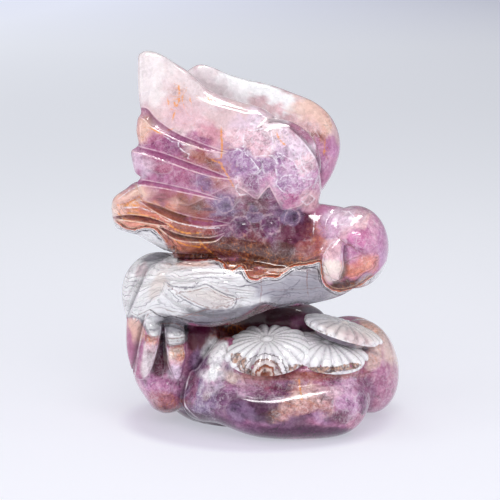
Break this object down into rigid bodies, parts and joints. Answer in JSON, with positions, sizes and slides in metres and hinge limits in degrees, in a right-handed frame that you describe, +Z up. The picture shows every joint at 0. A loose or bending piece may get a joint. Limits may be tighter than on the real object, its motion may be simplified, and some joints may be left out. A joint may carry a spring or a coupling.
{
  "type": "carved stone eagle figurine",
  "caption": "Polished amethyst and lace agate eagle with raised wings, standing on a rock with pine rosettes, carved in one piece.",
  "frame": {"origin": "middle of the carving's footprint box, on the flat face it stands on", "axes": "+Z up, +X towards the side that the eagle's head is on, +Y away from the side that the beak and rosettes face"},
  "size_m": [0.0846, 0.0514, 0.1089],
  "materials": {
    "stone": "polished"
  },
  "bodies": {
    "root": {"eagle_carving": "stone"}
  },
  "joints": []
}
